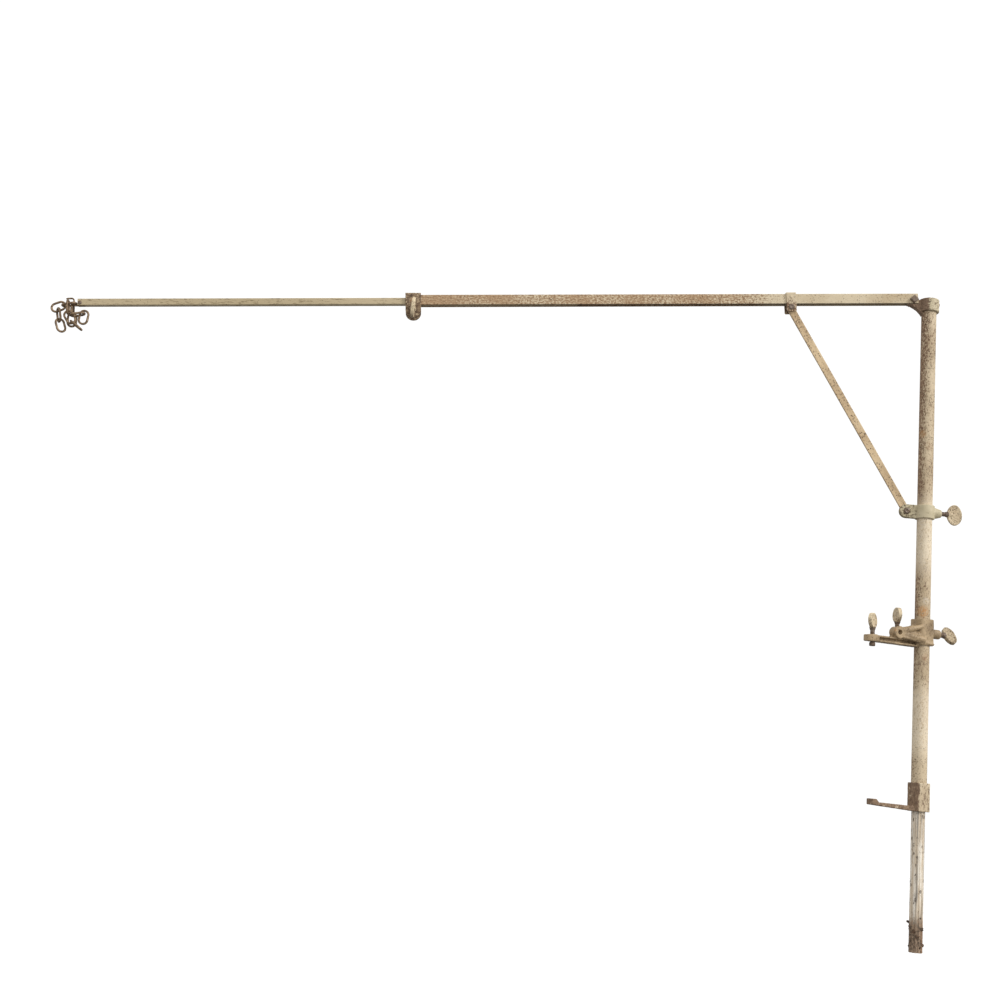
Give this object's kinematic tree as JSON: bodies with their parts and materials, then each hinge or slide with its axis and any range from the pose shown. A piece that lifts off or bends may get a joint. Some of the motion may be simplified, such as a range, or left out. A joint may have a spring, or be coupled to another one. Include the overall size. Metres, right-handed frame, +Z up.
{
  "type": "telescopic jib arm",
  "caption": "Clamp-on tube post with a sliding two-part boom, folding brace, ring clamp, rail jaws, telescoping leg, open hook and short chain.",
  "frame": {"origin": "on the axis of the post, level with the gripping face of the fixed foot jaw", "axes": "+Z up the post; -X towards the tip of the boom; the rail jaws point between -X and -Y"},
  "size_m": [1.5715, 0.0889, 1.1046],
  "materials": {
    "cream_paint": "worn cream paint with rust bleeding through",
    "green_cream_paint": "cleaner grey-green cream paint",
    "khaki_casting": "rough casting with worn khaki paint",
    "pale_leg": "chalky pale paint, rusted toe",
    "rusty_wire": "rusted steel wire",
    "dark_steel": "browned steel fasteners"
  },
  "bodies": {
    "post": {"post_tube": "cream_paint", "top_bracket": "khaki_casting", "bracket_pin": "dark_steel", "pivot_bolt": "dark_steel", "pivot_washer": "dark_steel", "pivot_nut": "dark_steel", "foot_bracket": "cream_paint", "foot_rivets": "dark_steel"},
    "leg": {"inner_leg": "pale_leg"},
    "arm": {"outer_arm": "cream_paint", "strap_hanger": "cream_paint", "strap_rivets": "dark_steel", "brace_upper_rivet": "dark_steel", "brace_spacers": "cream_paint", "end_clamp": "cream_paint", "end_clamp_nut": "dark_steel"},
    "end_screw": {"end_clamp_thumbscrew": "cream_paint"},
    "boom": {"boom_bar": "cream_paint", "boom_heel_block": "dark_steel", "heel_rivets": "dark_steel", "tip_pin": "dark_steel"},
    "brace": {"brace_bar": "cream_paint"},
    "ring": {"ring_clamp": "green_cream_paint", "brace_lower_rivet": "dark_steel"},
    "ring_screw": {"ring_thumbscrew": "cream_paint"},
    "jaw": {"jaw_clamp": "khaki_casting"},
    "jaw_lock_screw": {"jaw_lock_thumbscrew": "cream_paint"},
    "socket_screw": {"socket_thumbscrew": "cream_paint"},
    "clamp_pad": {"clamp_foot": "dark_steel"},
    "clamp_screw": {"clamp_thumbscrew": "cream_paint"},
    "hook": {"hook_wire": "rusty_wire"},
    "chain": {"chain_link_1": "rusty_wire", "chain_link_2": "rusty_wire", "chain_link_3": "rusty_wire", "chain_link_4": "rusty_wire", "chain_link_5": "rusty_wire", "chain_link_6": "rusty_wire", "chain_link_7": "rusty_wire", "chain_link_8": "rusty_wire", "chain_link_9": "rusty_wire", "chain_link_10": "rusty_wire", "chain_link_11": "rusty_wire"}
  },
  "joints": [
    {"name": "leg_slide", "type": "slide", "parent": "post", "child": "leg", "axis": [0, 0, -1], "range_m": [-0.165, 0.25]},
    {"name": "arm_fold", "type": "hinge", "parent": "post", "child": "arm", "pos_m": [-0.029, 0, 0.856], "axis": [0, 1, 0], "range_deg": [-30, 0]},
    {"name": "ring_slide", "type": "slide", "parent": "post", "child": "ring", "axis": [0, 0, 1], "range_m": [-0.135, 0.001]},
    {"name": "ring_screw_turn", "type": "hinge", "parent": "ring", "child": "ring_screw", "pos_m": [0.028, 0, 0.482], "axis": [1, 0, 0], "range_deg": [0, 720]},
    {"name": "brace_swing", "type": "hinge", "parent": "arm", "child": "brace", "pos_m": [-0.24288, 0, 0.8231], "axis": [0, 1, 0], "range_deg": [-1, 45]},
    {"name": "end_screw_turn", "type": "hinge", "parent": "arm", "child": "end_screw", "pos_m": [-0.89298, -0.02, 0.75898], "axis": [0, -1, 0], "range_deg": [0, 720]},
    {"name": "boom_slide", "type": "slide", "parent": "arm", "child": "boom", "axis": [-0.9957, 0, -0.0924], "range_m": [-0.5, 0.195]},
    {"name": "hook_swing", "type": "hinge", "parent": "boom", "child": "hook", "pos_m": [-1.4558, 0, 0.72289], "axis": [0, 1, 0], "range_deg": [-10, 15]},
    {"name": "chain_swing", "type": "hinge", "parent": "hook", "child": "chain", "pos_m": [-1.46317, 0, 0.7222], "axis": [0, 1, 0], "range_deg": [-5, 8]},
    {"name": "jaw_slide", "type": "slide", "parent": "post", "child": "jaw", "axis": [0, 0, 1], "range_m": [-0.215, 0.14]},
    {"name": "jaw_lock_turn", "type": "hinge", "parent": "jaw", "child": "jaw_lock_screw", "pos_m": [0.03709, 0.01498, 0.278], "axis": [0.9272, 0.3746, 0], "range_deg": [0, 720]},
    {"name": "socket_screw_turn", "type": "hinge", "parent": "jaw", "child": "socket_screw", "pos_m": [-0.05024, -0.02515, 0.29], "axis": [0, 0, 1], "range_deg": [0, 720]},
    {"name": "clamp_pad_travel", "type": "slide", "parent": "jaw", "child": "clamp_pad", "axis": [0, 0, -1], "range_m": [-0.0012, 0.0065]},
    {"name": "clamp_screw_turn", "type": "hinge", "parent": "clamp_pad", "child": "clamp_screw", "pos_m": [-0.09504, -0.0384, 0.27], "axis": [0, 0, -1], "range_deg": [-290, 1564]}
  ],
  "couplings": [
    {"joint": "ring_slide", "follows": "arm_fold", "m_per_rad": 0.2424},
    {"joint": "brace_swing", "follows": "arm_fold", "ratio": -1.22},
    {"joint": "clamp_screw_turn", "follows": "clamp_pad_travel", "rad_per_m": 4188.8}
  ]
}
